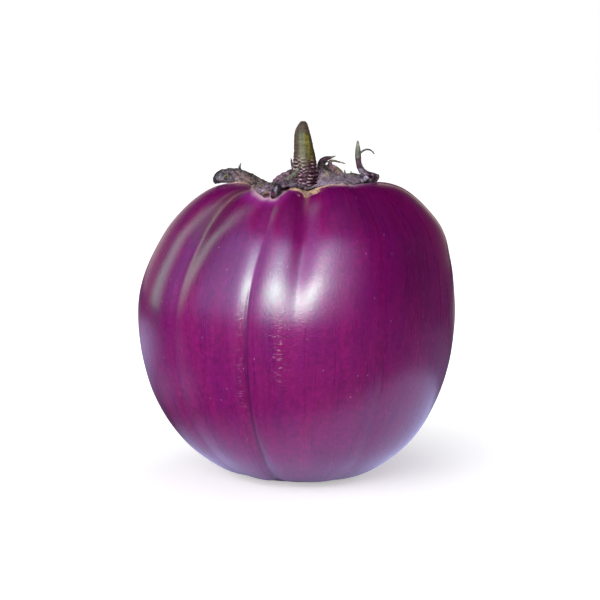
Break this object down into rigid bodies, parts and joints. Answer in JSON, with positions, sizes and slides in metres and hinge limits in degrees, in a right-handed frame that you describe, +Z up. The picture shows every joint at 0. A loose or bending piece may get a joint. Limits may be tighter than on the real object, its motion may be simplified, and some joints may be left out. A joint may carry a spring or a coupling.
{
  "type": "eggplant",
  "caption": "Round, lobed purple eggplant standing on its blossom end, with a curled, prickly calyx and a short tapered stem.",
  "frame": {"origin": "middle of the flat resting spot under the blossom end, on the surface that it stands on", "axes": "+Z up, out of the resting spot towards the stem; -Y is the front, the side that the picture shows; +X to the right in the picture"},
  "size_m": [0.1196, 0.12, 0.1348],
  "materials": {
    "skin": "thin glossy skin, deep violet with magenta patches",
    "calyx": "matt, leathery, grey-purple",
    "stem": "matt, fibrous, olive green to purple at the foot"
  },
  "bodies": {
    "root": {"fruit": "skin", "calyx": "calyx", "stem": "stem"}
  },
  "joints": []
}
